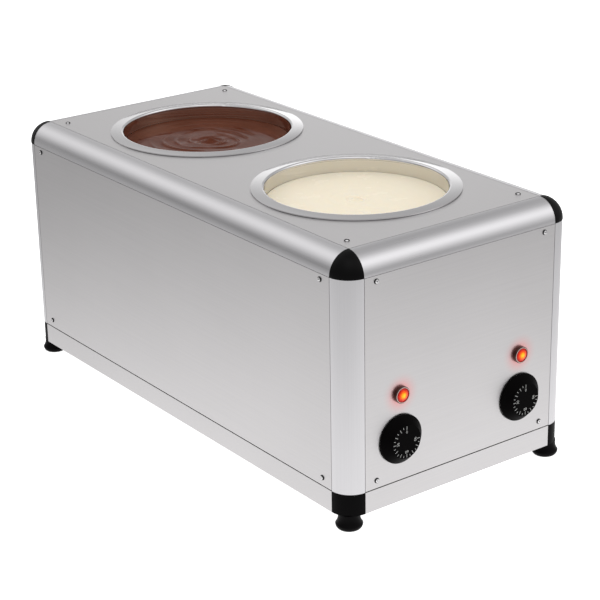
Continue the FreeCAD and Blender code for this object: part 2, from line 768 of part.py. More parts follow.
def make_thermostats():
    """Dial thermostats behind the front panel, each with a turning spindle and a sensing bulb."""
    for (name, sign), (_, pan_sign) in zip(SIDES, PANS):
        place = (f"{sign} * {KNOB_X}", f"-{HALF_LENGTH}", "knob_height")
        case = new_body(f"thermostat_{name}", *place, FRONT)
        block = new_sketch(case, lift="-sheet")
        rectangle(block, "-thermostat_width / 2", "-thermostat_height / 2", "thermostat_width / 2",
                  "thermostat_height / 2")
        base = pad(case, block, "thermostat_depth", reverse=True)
        round_edges(case, base, "thermostat_corner", upright_edge)
        bushing = new_sketch(case, lift="-sheet")
        circle(bushing, "0", "0", "bushing_radius")
        pad(case, bushing, "sheet + bushing_reach")
        bore = new_sketch(case, lift="bushing_reach")
        circle(bore, "0", "0", "spindle_radius + spindle_clearance")
        cut(case, bore, "bushing_reach + spindle_depth + spindle_clearance")
        threads = new_sketch(case, lift="-sheet")
        for side in ("-", ""):
            circle(threads, f"{side}fixing_pitch / 2", "0", "screw_radius + screw_clearance")
        cut(case, threads, "screw_length")

        spindle = new_body(f"spindle_{name}", *place, FRONT)
        shaft = new_sketch(spindle, lift="-spindle_depth")
        circle(shaft, "0", "0", "spindle_radius")
        pad(spindle, shaft, "spindle_depth + spindle_reach")
        flat = new_sketch(spindle, lift="spindle_reach")
        rectangle(flat, "spindle_flat", "-spindle_radius", "2 * spindle_radius", "spindle_radius")
        cut(spindle, flat, "spindle_reach - knob_standoff")

        # the capillary leaves the case downward, runs under the well and rises to the bulb
        bottom = "(knob_height - thermostat_height / 2)"
        start = f"(-{HALF_LENGTH} + sheet + capillary_inset)"
        rise = f"({WELL_OUTSIDE} - bulb_gap - bulb_radius - {bottom})"
        run = f"({pan_sign} * pan_spacing / 2 - bulb_length / 2 - {start})"
        low = "(-capillary_drop - capillary_bend)"
        turn = f"({run} - capillary_lead - capillary_bend)"
        sensor = new_body(f"sensor_{name}", f"{sign} * ({KNOB_X} - bulb_shift)", start, bottom)
        path = new_sketch(sensor, "YZ_Plane")
        line(path, "0", "0", "0", "-capillary_drop")
        bend(path, "0", "-capillary_drop", "capillary_bend", low, "capillary_bend", 1)
        line(path, "capillary_bend", low, f"{turn} - capillary_bend", low)
        bend(path, f"{turn} - capillary_bend", low, turn, "-capillary_drop", "capillary_bend", 1)
        line(path, turn, "-capillary_drop", turn, f"{rise} - capillary_bend")
        bend(path, turn, f"{rise} - capillary_bend", f"{turn} + capillary_bend", rise,
             "capillary_bend", -1)
        line(path, f"{turn} + capillary_bend", rise, run, rise)
        ring = new_sketch(sensor)
        circle(ring, "0", "0", "capillary_radius")
        tube = sensor.newObject("PartDesign::AdditivePipe", f"{sensor.Name}_tube")
        tube.Profile = ring
        tube.Spine = (path, [f"Edge{index}" for index in range(1, 8)])
        end = new_sketch(sensor, "XZ_Plane", lift=f"-{run}")
        circle(end, "0", rise, "bulb_radius")
        pad(sensor, end, "bulb_length", reverse=True)


def make_knobs():
    """Hollow dial knobs with a sloping skirt, a flat face and a hub that fits the spindle."""
    socket = "(spindle_radius + spindle_clearance)"
    flat = "(spindle_flat + spindle_clearance)"
    half_flat = f"sqrt({socket}^2 - {flat}^2)"
    for name, sign in SIDES:
        place = (f"{sign} * {KNOB_X}", f"-{HALF_LENGTH}", "knob_height")
        knob = new_body(f"knob_{name}", *place, FRONT)
        section = new_sketch(knob, "XZ_Plane")
        outline(section, [
            ("0", "knob_standoff"),
            ("knob_hub", "knob_standoff"),
            ("knob_hub", "knob_depth - knob_wall"),
            ("knob_face - knob_wall", "knob_depth - knob_wall"),
            ("knob_skirt - knob_wall", "knob_standoff"),
            ("knob_skirt", "knob_standoff"),
            ("knob_skirt", "knob_standoff + knob_edge"),
            ("knob_face", "knob_depth - knob_edge"),
            ("knob_face - knob_edge", "knob_depth"),
            ("0", "knob_depth"),
        ])
        revolve(knob, section)
        hole = new_sketch(knob, lift="knob_standoff")
        outline(hole, [
            (flat, half_flat),
            (f"-{socket}", "0", socket, 1),
            (flat, f"-{half_flat}", socket, 1),
        ])
        cut(knob, hole, "spindle_reach - knob_standoff + spindle_clearance", reverse=True)


def make_lamps():
    """Pilot lamps: a lamp tube with a ring nut behind the panel, a bezel and a domed lens."""
    lens = "(bezel_radius - bezel_wall - lens_gap)"
    lens_top = "(bezel_height - lens_recess)"
    dome = f"(({lens}^2 + lens_dome^2) / (2 * lens_dome))"
    nuts = new_body("lamp_nuts", "0", f"-{HALF_LENGTH}", "lamp_height", FRONT)
    nuts.AllowCompound = True
    rings = new_sketch(nuts, lift="-sheet")
    for name, sign in SIDES:
        centre = f"{sign} * {LAMP_X}"
        circle(rings, centre, "0", "lamp_nut_radius")
        circle(rings, centre, "0", "lamp_radius + lamp_clearance")
        place = (centre, f"-{HALF_LENGTH}", "lamp_height")
        bezel = new_body(f"lamp_bezel_{name}", *place, FRONT)
        section = new_sketch(bezel, "XZ_Plane")
        outline(section, [
            ("lamp_radius + lens_gap", "0"),
            ("bezel_radius", "0"),
            ("bezel_radius", "bezel_height - bezel_round"),
            ("bezel_radius - bezel_round", "bezel_height", "bezel_round", 1),
            ("bezel_radius - bezel_wall", "bezel_height"),
            ("bezel_radius - bezel_wall", "bezel_floor"),
            ("lamp_radius + lens_gap", "bezel_floor"),
        ])
        revolve(bezel, section)
        cover = new_body(f"lamp_lens_{name}", *place, FRONT)
        section = new_sketch(cover, "XZ_Plane")
        outline(section, [
            ("0", "bezel_floor"),
            (lens, "bezel_floor"),
            (lens, lens_top),
            ("0", f"{lens_top} + lens_dome", dome, 1),
        ])
        revolve(cover, section)
        tube = new_body(f"lamp_tube_{name}", *place, FRONT)
        barrel = new_sketch(tube, lift="bezel_floor")
        circle(barrel, "0", "0", "lamp_radius")
        pad(tube, barrel, "lamp_length", reverse=True)
    pad(nuts, rings, "lamp_nut_height", reverse=True)


def make_mains_inlet():
    """Cable gland in the rear panel, its nut, and the terminal block on the base."""
    place = (GLAND_X, HALF_LENGTH, "gland_height")
    gland = new_body("cable_gland", *place, REAR)
    section = new_sketch(gland, "XZ_Plane")
    outline(section, [
        ("gland_bore", "-gland_thread_length"),
        ("gland_thread", "-gland_thread_length"),
        ("gland_thread", "0"),
        ("gland_collar", "0"),
        ("gland_collar", "gland_collar_height"),
        ("gland_nose", "gland_reach", "gland_collar", 1),
        ("gland_bore", "gland_reach"),
    ])
    revolve(gland, section)
    nut = new_body("gland_nut", *place, REAR)
    face = new_sketch(nut, lift="-sheet")
    hexagon(face, "0", "0", "gland_nut_radius")
    circle(face, "0", "0", "gland_thread + pin_clearance")
    pad(nut, face, "gland_nut_height", reverse=True)
    block = new_body("terminal_block", GLAND_X, f"{HALF_LENGTH} - block_inset", "floor_clearance + sheet")
    base = new_sketch(block)
    rectangle(base, "-block_length / 2", "-block_width / 2", "block_length / 2", "block_width / 2")
    pad(block, base, "block_height")
    entries = new_sketch(block, "XZ_Plane", lift="block_width / 2")
    for shift in ("-wire_pitch", "0", "wire_pitch"):
        circle(entries, shift, "block_height / 2", "wire_hole")
    cut(block, entries, "block_width")


make_posts()
make_rails()
make_caps()
make_foot_blocks()
make_feet()
make_base_tray()
make_panels()
make_wells()
make_heaters()
make_pans()
make_thermostats()
make_knobs()
make_lamps()
make_mains_inlet()

doc.recompute()
for item in doc.Objects:
    if "Invalid" in item.State or "Error" in item.State:
        raise RuntimeError(f"{item.Name} did not compute: {item.State}")
for feature in cuts:
    if feature.Shape.Volume >= feature.BaseFeature.Shape.Volume:
        raise RuntimeError(f"{feature.Name} removes nothing")
for item in parts:
    if item.Shape.isNull() or not item.Shape.isValid():
        raise RuntimeError(f"{item.Label} has no valid shape")

os.makedirs("parts", exist_ok=True)
for item in parts:
    item.Shape.exportStep(f"parts/{item.Label}.step")
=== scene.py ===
import math

import bmesh
import bpy
from mathutils import Matrix, Vector, noise


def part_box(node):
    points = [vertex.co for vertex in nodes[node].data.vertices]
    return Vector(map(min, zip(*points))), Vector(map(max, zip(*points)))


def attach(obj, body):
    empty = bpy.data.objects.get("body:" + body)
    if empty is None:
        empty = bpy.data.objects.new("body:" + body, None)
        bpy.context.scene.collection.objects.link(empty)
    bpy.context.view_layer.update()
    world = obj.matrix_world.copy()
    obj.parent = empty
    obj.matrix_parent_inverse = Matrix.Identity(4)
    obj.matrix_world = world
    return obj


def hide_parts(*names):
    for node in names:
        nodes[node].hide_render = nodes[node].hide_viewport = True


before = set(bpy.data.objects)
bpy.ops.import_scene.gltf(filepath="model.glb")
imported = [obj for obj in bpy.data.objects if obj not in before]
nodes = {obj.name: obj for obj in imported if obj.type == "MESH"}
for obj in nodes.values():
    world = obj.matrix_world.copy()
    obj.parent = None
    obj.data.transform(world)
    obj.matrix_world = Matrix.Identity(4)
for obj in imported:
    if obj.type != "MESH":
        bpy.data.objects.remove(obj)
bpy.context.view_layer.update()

MM = 0.001

# The camera of the photograph: it looks down on the near left corner of the front.
CAMERA_AZIMUTH = math.radians(-36.41)
CAMERA_ELEVATION = math.radians(21.513)
CAMERA_ROLL = math.radians(-1.05)
CAMERA_DISTANCE = 1.8971
CAMERA_LENS = 112.27
CAMERA_SENSOR = 36
TARGET_ACROSS = 0.01898
TARGET_HEIGHT = 0.10742


def make_camera():
    """The scene's camera, turned and placed as in the photograph."""
    level = math.cos(CAMERA_ELEVATION)
    back = Vector((
        math.sin(CAMERA_AZIMUTH) * level,
        -math.cos(CAMERA_AZIMUTH) * level,
        math.sin(CAMERA_ELEVATION),
    ))
    right = Vector((math.cos(CAMERA_AZIMUTH), math.sin(CAMERA_AZIMUTH), 0))
    above = back.cross(right)
    across = right * math.cos(CAMERA_ROLL) + above * math.sin(CAMERA_ROLL)
    upward = above * math.cos(CAMERA_ROLL) - right * math.sin(CAMERA_ROLL)
    target = right * TARGET_ACROSS + Vector((0, 0, TARGET_HEIGHT))
    data = bpy.data.cameras.new("camera")
    data.lens = CAMERA_LENS
    data.sensor_width = CAMERA_SENSOR
    camera = bpy.data.objects.new("camera", data)
    turn = Matrix((across, upward, back)).transposed().to_4x4()
    camera.matrix_world = Matrix.Translation(target + back * CAMERA_DISTANCE) @ turn
    bpy.context.scene.collection.objects.link(camera)
    bpy.context.scene.camera = camera


# Node trees

# Most of a noise's values lie between these two.
NOISE_LOW = 0.3
NOISE_HIGH = 0.7


class Graph:
    """A node tree with short ways to add a node and to join its sockets."""

    def __init__(self, tree):
        self.tree = tree
        tree.nodes.clear()

    def add(self, kind, inputs=None, **settings):
        """A new node. An input is a value, or another node's output to link."""
        node = self.tree.nodes.new("ShaderNode" + kind)
        for name, value in settings.items():
            setattr(node, name, value)
        for name, value in (inputs or {}).items():
            if isinstance(value, bpy.types.NodeSocket):
                self.tree.links.new(value, node.inputs[name])
            else:
                node.inputs[name].default_value = value
        return node

    def math(self, operation, first, second=0.0, third=0.0):
        """The output of a Math node."""
        return self.add("Math", {0: first, 1: second, 2: third}, operation=operation).outputs[0]

    def vector(self, operation, first, second):
        """The vector that a Vector Math node gives."""
        return self.add("VectorMath", {0: first, 1: second}, operation=operation).outputs[0]

    def measure(self, operation, first, second=(0, 0, 0)):
        """The number that a Vector Math node gives, such as a length or a dot product."""
        return self.add("VectorMath", {0: first, 1: second}, operation=operation).outputs["Value"]

    def spread(self, value, low, high, out_low, out_high):
        """A value moved from one range to another and kept inside it."""
        inputs = {0: value, 1: low, 2: high, 3: out_low, 4: out_high}
        return self.add("MapRange", inputs).outputs[0]

    def vary(self, value, low, high):
        """A value from low to high that follows a noise."""
        return self.spread(value, NOISE_LOW, NOISE_HIGH, low, high)

    def blend(self, factor, first, second):
        """A colour between two colours."""
        inputs = {0: factor, 6: first, 7: second}
        return self.add("Mix", inputs, data_type="RGBA").outputs[2]

    def place(self, scale=(1, 1, 1)):
        """The place on the object in metres, times a scale along each axis."""
        where = self.add("TexCoord").outputs["Object"]
        return self.add("Mapping", {"Vector": where, "Scale": scale}).outputs[0]

    def noise(self, vector, scale, detail=4.0, roughness=0.55):
        """A noise value about a half."""
        inputs = {"Vector": vector, "Scale": scale, "Detail": detail, "Roughness": roughness}
        return self.add("TexNoise", inputs).outputs[0]

    def ramp(self, factor, stops):
        """A colour ramp through (place, colour) stops."""
        node = self.add("ValToRGB", {0: factor})
        elements = node.color_ramp.elements
        while len(elements) < len(stops):
            elements.new(0.5)
        for element, (place, colour) in zip(elements, stops):
            element.position = place
            element.color = (*colour, 1)
        return node.outputs[0]

    def bump(self, height, strength, distance):
        """A normal bent by a height, the distance in metres."""
        inputs = {"Height": height, "Strength": strength, "Distance": distance}
        return self.add("Bump", inputs).outputs[0]


def surface(name, inputs_of):
    """A material with one main shader, whose inputs the given function makes in its tree."""
    material = bpy.data.materials.new(name)
    material.use_nodes = True
    graph = Graph(material.node_tree)
    shader = graph.add("BsdfPrincipled", inputs_of(graph))
    graph.add("OutputMaterial", {"Surface": shader.outputs[0]})
    return material


def tint(red, green, blue):
    """A colour with its alpha."""
    return (red, green, blue, 1)


def grain_scale(axis, along=6, across=900):
    """Texture scales that draw a noise out into lines along one axis."""
    return [along if index == axis else across for index in range(3)]


# How much darker and lighter than its colour the grain of brushed metal is
GRAIN_CONTRAST = 0.045


def brushed(name, axis, colour, roughness, depth=0.02, halo=None):
    """Brushed or extruded metal, whose fine lines run along an axis."""

    def inputs(graph):
        lines = graph.noise(graph.place(grain_scale(axis)), 1.0, 3.0, 0.6)
        cloud = graph.noise(graph.place(), 9.0, 2.0, 0.5)
        mixed = graph.math("MULTIPLY_ADD", cloud, 0.5, graph.math("MULTIPLY", lines, 0.5))
        dark = tint(*[part * (1 - GRAIN_CONTRAST) for part in colour])
        light = tint(*[part * (1 + GRAIN_CONTRAST) for part in colour])
        shade = graph.blend(graph.vary(mixed, 0, 1), dark, light)
        # The pilot lamps' pink halo is painted light, laid into the colour here.
        if halo:
            shade = halo(graph, shade)
        return {
            "Base Color": shade,
            "Metallic": 1.0,
            "Roughness": graph.vary(mixed, roughness * 0.9, roughness * 1.1),
            "Normal": graph.bump(lines, depth, 0.4 * MM),
        }

    return surface(name, inputs)


def wiped(graph, roughness):
    """The roughness of polished metal with faint wipe marks."""
    marks = graph.noise(graph.place(), 60.0, 5.0, 0.6)
    return graph.vary(marks, roughness * 0.8, roughness * 1.25)


def polished(name, colour, roughness):
    """Bright metal with faint wipe marks."""

    def inputs(graph):
        return {"Base Color": tint(*colour), "Metallic": 1.0, "Roughness": wiped(graph, roughness)}

    return surface(name, inputs)


def across_axis(graph, centre, plane):
    """The way in metres from the axis through a centre, in the plane across that axis."""
    where = graph.add("TexCoord").outputs["Object"]
    return graph.vector("MULTIPLY", graph.vector("SUBTRACT", where, centre), plane)


def pan_finish(node, coating_and_reflection):
    """Polished pan steel, lighter on the rim by a painted shine, and tinted inside by a chocolate coating and
    its painted reflection.
    """
    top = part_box("panel_top")[1].z
    low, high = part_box(node)
    axis = (low + high) / 2
    crest = (high.x - low.x) / 2 - RIM_BAND

    def inputs(graph):
        frame_of = graph.add("TexCoord").outputs
        height = graph.add("SeparateXYZ", {0: frame_of["Object"]}).outputs[2]
        # Painted shine: the colour turns lighter towards the rim, over the last stretch below the top panel.
        rim_shine = graph.spread(height, top - PAN_SHINE_FADE, top, 0, 1)
        way = across_axis(graph, axis, (1, 1, 0))
        outward = graph.measure("DOT_PRODUCT", way, frame_of["Normal"])
        # Walls that face the pan's axis take a tint that stands for a chocolate coating and paints the
        # chocolate's reflection.
        outside = graph.spread(outward, -COATING_AND_REFLECTION_EDGE, COATING_AND_REFLECTION_EDGE, 0, 1)
        wall = graph.blend(outside, tint(*coating_and_reflection), tint(*PAN_WALL))
        beyond = graph.math("SUBTRACT", graph.measure("LENGTH", way), crest)
        fall = graph.math("MULTIPLY", graph.math("MAXIMUM", beyond, 0.0), -1.0)
        return {
            "Normal": graph.bump(fall, 1.0, RIM_FALL),
            "Base Color": graph.blend(rim_shine, wall, tint(*PAN_RIM_SHINE)),
            "Metallic": 1.0,
            "Roughness": wiped(graph, PAN_ROUGHNESS),
        }

    return surface(node + "_steel", inputs)


# How much lighter than its colour moulded plastic is in places
PLASTIC_LIGHTER = 1.35


def moulded(name, colour, roughness, grain=0.06, gloss=0.5):
    """Moulded plastic or rubber with a fine grain."""

    def inputs(graph):
        fine = graph.noise(graph.place(), 2200.0, 3.0, 0.6)
        wide = graph.noise(graph.place(), 40.0, 3.0, 0.5)
        light = tint(*[part * PLASTIC_LIGHTER for part in colour])
        return {
            "Base Color": graph.blend(graph.vary(wide, 0, 1), tint(*colour), light),
            "Roughness": graph.vary(wide, roughness * 0.9, roughness * 1.15),
            "Specular IOR Level": gloss,
            "Normal": graph.bump(fine, grain, 0.2 * MM),
        }

    return surface(name, inputs)


STEEL = (0.62, 0.605, 0.61)
ALUMINIUM = (0.66, 0.65, 0.665)
BLACK = (0.0012, 0.0010, 0.0012)
# The rim's colour is lighter than the wall's colour below it: a painted shine.
PAN_RIM_SHINE = (0.72, 0.71, 0.72)
PAN_WALL = (0.66, 0.64, 0.61)
PAN_ROUGHNESS = 0.08
# The crest of a rim is this far in from its edge. Outside it the shading adds a little slope.
RIM_BAND = 10.8 * MM
RIM_FALL = 0.14
# How far below the top panel a pan's painted shine fades, and how sharply its tint of coating and painted
# reflection ends where a wall turns over
PAN_SHINE_FADE = 3.0 * MM
COATING_AND_REFLECTION_EDGE = 1 * MM
# The colour of each pan's wall inside, above the chocolate: a chocolate coating and a painted reflection of
# the chocolate, warm in the rear pan
PAN_COATING_AND_REFLECTION_TINTS = {"front": (0.66, 0.64, 0.60), "rear": (0.56, 0.36, 0.27)}
# A screw's painted shade is full below the first, and its painted highlight full above the second, by how far
# its surface faces the way of the painted shine.
SCREW_SHADE_BELOW = 0.80
SCREW_HIGHLIGHT_ABOVE = 0.93
HEAD_PAINTED_HIGHLIGHT = (0.86, 0.85, 0.86)
RECESS_PAINTED_SHADE = (0.012, 0.011, 0.012)


def domed(name, facing):
    """Screw steel with a painted highlight on the top of its head and painted shade on its sides and in its
    recess.
    """

    def inputs(graph):
        normal = graph.add("TexCoord").outputs["Normal"]
        facing_share = graph.measure("DOT_PRODUCT", normal, facing)
        # Painted highlight and shade: the colour follows how far a normal faces a fixed way.
        painted_highlight = graph.spread(facing_share, SCREW_SHADE_BELOW, SCREW_HIGHLIGHT_ABOVE, 0, 1)
        return {
            "Base Color": graph.blend(painted_highlight, tint(*RECESS_PAINTED_SHADE), tint(*HEAD_PAINTED_HIGHLIGHT)),
            "Metallic": painted_highlight,
            "Roughness": 0.16,
            "Specular IOR Level": 0.15,
        }

    return surface(name, inputs)


def lamp_axis(side):
    """The middle of a pilot lamp's lens, and its radius."""
    low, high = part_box("lamp_lens_" + side)
    return (low + high) / 2, (high.x - low.x) / 2


def from_axis(graph, centre):
    """The distance in metres from a lamp's axis, which runs along Y."""
    return graph.measure("LENGTH", across_axis(graph, centre, (1, 0, 1)))


# A bezel's painted highlight covers this share of its width, and its painted shade is full this far in from
# its edge.
BEZEL_HIGHLIGHT_SHARE = 0.15
BEZEL_SHADE_EDGE = 0.3 * MM
BEZEL_PAINTED_HIGHLIGHT = (0.74, 0.62, 0.58)
BEZEL_PAINTED_SHADE = (0.075, 0.045, 0.04)


def bezel(side):
    """A lamp's chrome ring, with painted shade on its outer wall and a painted pink highlight round the lens.
    """
    centre, radius = lamp_axis(side)
    low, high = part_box("lamp_bezel_" + side)
    outside = (high.x - low.x) / 2

    def inputs(graph):
        away = from_axis(graph, centre)
        highlight_to = radius + BEZEL_HIGHLIGHT_SHARE * (outside - radius)
        # Painted shade: the colour darkens from the painted highlight out to the outer wall.
        dark = graph.spread(away, highlight_to, outside - BEZEL_SHADE_EDGE, 0, 1)
        return {
            "Base Color": graph.blend(dark, tint(*BEZEL_PAINTED_HIGHLIGHT), tint(*BEZEL_PAINTED_SHADE)),
            "Metallic": 1.0,
            "Roughness": 0.14,
        }

    return surface("lamp_bezel_" + side, inputs)


# The painted halo is full up to the first distance from a lamp's axis, and gone at the second.
HALO_START = 7 * MM
HALO_END = 22 * MM
PAINTED_HALO_TINT = tint(0.86, 0.33, 0.32)
HALO_STRENGTH = 0.80


def painted_lamp_halo(graph, shade):
    """The pink light of each pilot lamp on the panel round it, painted into the panel's colour as a halo."""
    for side in ("left", "right"):
        away = from_axis(graph, lamp_axis(side)[0])
        near = graph.spread(away, HALO_START, HALO_END, 1, 0)
        soft = graph.math("MULTIPLY", graph.math("POWER", near, 2.0), HALO_STRENGTH)
        shade = graph.blend(soft, shade, PAINTED_HALO_TINT)
    return shade


# How a lens's facets break up its glow
FACET_SCALE = 900.0
FACET_GLOW = 0.25
FACET_SHIFT = 0.08
# The glow from the middle of a lens to its edge
LENS_GLOW = [
    (0.0, (1.0, 0.84, 0.03)),
    (0.28, (1.0, 0.55, 0.01)),
    (0.52, (1.0, 0.13, 0.004)),
    (0.78, (0.62, 0.012, 0.003)),
    (1.0, (0.16, 0.004, 0.002)),
]


def lens(side):
    """A lamp lens that glows: yellow in the middle, orange, and deep red at its edge."""
    centre, radius = lamp_axis(side)

    def inputs(graph):
        share = graph.math("DIVIDE", from_axis(graph, centre), radius)
        facets = graph.add("TexVoronoi", {"Vector": graph.place(), "Scale": FACET_SCALE}).outputs[0]
        level = graph.math("MULTIPLY_ADD", facets, FACET_GLOW, graph.math("SUBTRACT", share, FACET_SHIFT))
        return {
            "Base Color": tint(0.10, 0.004, 0.002),
            "Roughness": 0.12,
            "Specular IOR Level": 0.25,
            "Emission Color": graph.ramp(level, LENS_GLOW),
            "Emission Strength": 1.0,
            "Normal": graph.bump(facets, 0.25, 0.5 * MM),
        }

    return surface("lamp_lens_" + side, inputs)


# Where the streaks of stirred chocolate begin and end in their noise
STREAK_LOW = 0.35
STREAK_HIGH = 0.65
# How far light goes in chocolate: red, green and blue, times a depth
SCATTER_REACH = (0.9, 0.7, 0.45)
SCATTER_DEPTH = 4 * MM


def chocolate_finish(name, colour, deep, roughness, scatter, gloss):
    """Melted chocolate: smooth and glossy, with faint streaks where it was stirred."""

    def inputs(graph):
        streaks = graph.noise(graph.place((1, 1, 0.2)), 55.0, 3.0, 0.5)
        pale = graph.spread(streaks, STREAK_LOW, STREAK_HIGH, 0, 1)
        fine = graph.noise(graph.place(), 420.0, 2.0, 0.5)
        return {
            "Base Color": graph.blend(pale, tint(*deep), tint(*colour)),
            "Roughness": graph.vary(streaks, roughness * 0.9, roughness * 1.1),
            "Normal": graph.bump(fine, 0.01, 0.4 * MM),
            "Subsurface Weight": scatter,
            "Subsurface Radius": SCATTER_REACH,
            "Subsurface Scale": SCATTER_DEPTH,
            "Specular IOR Level": gloss,
        }

    return surface(name, inputs)


def paint(material, names):
    """Gives the CAD nodes of these names a material."""
    for name in names:
        slots = nodes[name].material_slots
        if not slots:
            nodes[name].data.materials.append(material)
        for slot in slots:
            slot.material = material


ENDS = ("front", "rear")
SIDES = ("left", "right")
CORNERS = [end + "_" + side for end in ENDS for side in SIDES]


def each(prefix, names):
    """Node names that share a first word."""
    return [prefix + "_" + name for name in names]


def paint_nodes():
    """The finish of every CAD node."""
    paint(brushed("panel_steel_long", 1, STEEL, 0.34), each("panel", ("top", "left", "right")))
    paint(brushed("panel_steel_wide", 0, STEEL, 0.34), ["panel_rear", "base_tray"])
    # The front panel's colour carries the pilot lamps' painted halo.
    paint(brushed("panel_steel_front", 0, STEEL, 0.34, halo=painted_lamp_halo), ["panel_front"])
    paint(brushed("frame_upright", 2, ALUMINIUM, 0.30, 0.03), each("post", CORNERS))
    paint(brushed("frame_long", 1, ALUMINIUM, 0.30, 0.03), each("rail", SIDES))
    paint(brushed("frame_wide", 0, ALUMINIUM, 0.30, 0.03), each("rail", ENDS))
    paint(moulded("cap_plastic", BLACK, 0.36, gloss=0.10), each("cap", CORNERS))
    paint(moulded("block_plastic", BLACK, 0.42, gloss=0.05), each("foot_block", CORNERS))
    paint(moulded("gland_plastic", BLACK, 0.42, gloss=0.25), ["cable_gland", "gland_nut"])
    paint(moulded("foot_rubber", (0.0016, 0.0013, 0.0016), 0.42, gloss=0.06), each("foot", CORNERS))
    paint(moulded("dial_plastic", (0.0016, 0.0013, 0.0014), 0.42, 0.04, gloss=0.02), each("knob", SIDES))
    # Each pan's inside walls carry a tint of chocolate coating and painted reflection.
    for end, coating_and_reflection in PAN_COATING_AND_REFLECTION_TINTS.items():
        paint(pan_finish("pan_" + end, coating_and_reflection), ["pan_" + end])
    paint(polished("well_steel", (0.58, 0.57, 0.57), 0.30), each("well", ENDS))
    paint(brushed("heater_steel", 2, (0.50, 0.49, 0.48), 0.40), each("heater_band", ENDS))
    fixings = each("screws", ("top", "thermostat", *ENDS, *SIDES)) + each("heater_bolts", ENDS)
    paint(polished("screw_steel", (0.62, 0.61, 0.62), 0.20), fixings)
    paint(polished("nut_steel", (0.60, 0.59, 0.58), 0.28), ["lamp_nuts"])
    paint(moulded("lamp_tube_plastic", (0.55, 0.53, 0.50), 0.45), each("lamp_tube", SIDES))
    paint(polished("spindle_steel", (0.60, 0.59, 0.58), 0.25), each("spindle", SIDES))
    paint(moulded("thermostat_case", (0.30, 0.17, 0.08), 0.5), each("thermostat", SIDES))
    paint(polished("sensor_copper", (0.80, 0.42, 0.26), 0.28), each("sensor", SIDES))
    paint(moulded("terminal_plastic", (0.62, 0.60, 0.55), 0.5), ["terminal_block"])
    for side in SIDES:
        paint(lens(side), ["lamp_lens_" + side])
        paint(bezel(side), ["lamp_bezel_" + side])


# New pieces


def add_mesh(name, mesh, material, body, replaced=()):
    """Puts a mesh into the scene as a piece on a body."""
    mesh.materials.append(material)
    piece = bpy.data.objects.new(name, mesh)
    bpy.context.scene.collection.objects.link(piece)
    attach(piece, body)
    if replaced:
        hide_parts(*replaced)
    return piece


def mesh_from(bm, name, smooth=True):
    """A mesh of the bmesh's faces, with their normals outward."""
    bmesh.ops.recalc_face_normals(bm, faces=bm.faces)
    for face in bm.faces:
        face.smooth = smooth
    mesh = bpy.data.meshes.new(name)
    bm.to_mesh(mesh)
    bm.free()
    return mesh


def shown_mesh(source):
    """A new mesh of an object's form after its curve settings or modifiers."""
    bpy.context.view_layer.update()
    shown = source.evaluated_get(bpy.context.evaluated_depsgraph_get())
    return bpy.data.meshes.new_from_object(shown)


def ring_of(bm, points):
    """New vertices at these points."""
    return [bm.verts.new(point) for point in points]


def bridge(bm, lower, upper):
    """Faces between two rings of as many vertices."""
    count = len(lower)
    for index in range(count):
        after = (index + 1) % count
        bm.faces.new((lower[index], lower[after], upper[after], upper[index]))


def fan(bm, tip, ring):
    """Faces from one vertex to a ring."""
    for first, second in zip(ring, ring[1:] + ring[:1]):
        bm.faces.new((tip, first, second))


RING_STEPS = 224
SURFACE_RINGS = 120
# Below 1, the rings of the surface lie closer together towards the wall.
RING_CROWDING = 0.92
WALL_RINGS = 8
LEVEL_DROP = 0.9 * MM
MENISCUS_RISE = 0.75 * MM
MENISCUS_REACH = 1.6 * MM
# The ripples die out over this width along the wall.
CALM_WIDTH = 6 * MM
POOL_DEPTH = 60 * MM
POOL_TAPER = 0.022

# The bulges that keep the ripples from being round: how many, how large a share, turned how far
RIPPLE_BULGES = ((2, 0.10, 0.6), (3, 0.06, 2.1))
RIPPLE_GAIN = 1.6
RIPPLE_TROUGH = 0.4
# The ripples are broken into arcs by a noise: its middle, its ends, its scale, its change outward
ARC_MIDDLE = 0.5
ARC_LEAST = 0.08
ARC_GREATEST = 1.2
ARC_SCALE = 1.3
ARC_CHANGE = 30
# The swell has a broad noise and a share of a finer one.
SWELL_BROAD = 22
SWELL_FINE = 47
SWELL_SHARE = 0.5
# The peak leans a little and is narrower one way. A low ring lies round it, in widths of the peak.
PEAK_LEAN = 0.2
PEAK_NARROWING = 1.6
DIP_SHARE = 0.5
DIP_PLACE = 2.2
DIP_SHARPNESS = 2


def ripple_height(x, y, pool):
    """How far a pool's surface stands above its level at a place, from stirring and dripping."""
    along, aside = x - pool["eye"][0], y - pool["eye"][1]
    away = math.hypot(along, aside)
    angle = math.atan2(aside, along)
    wobble = 1 + sum(share * math.sin(count * angle + turn) for count, share, turn in RIPPLE_BULGES)
    phase = math.tau * away * wobble / pool["wave"] + pool["arms"] * angle
    fade = math.exp(-((away / pool["reach"]) ** 2)) * (1 - math.exp(-away / pool["wave"]))
    around = Vector((math.cos(angle), math.sin(angle), away * ARC_CHANGE + pool["seed"]))
    arcs = ARC_MIDDLE + pool["broken"] * noise.noise(around * ARC_SCALE)
    crest = math.exp(pool["crest"] * (math.cos(phase) - 1)) - RIPPLE_TROUGH
    height = RIPPLE_GAIN * pool["ripple"] * crest * fade * max(ARC_LEAST, min(ARC_GREATEST, arcs))
    spot = Vector((x, y, pool["seed"]))
    height += pool["swell"] * (noise.noise(spot * SWELL_BROAD) + SWELL_SHARE * noise.noise(spot * SWELL_FINE))
    lean = (along - PEAK_LEAN * pool["peak_width"]) / pool["peak_width"]
    side = aside / pool["peak_width"]
    height += pool["peak"] * math.exp(-(lean ** 2) - (side ** 2) * PEAK_NARROWING)
    dip = away / pool["peak_width"] - DIP_PLACE
    height -= DIP_SHARE * pool["peak"] * math.exp(-(dip ** 2) * DIP_SHARPNESS)
    return height


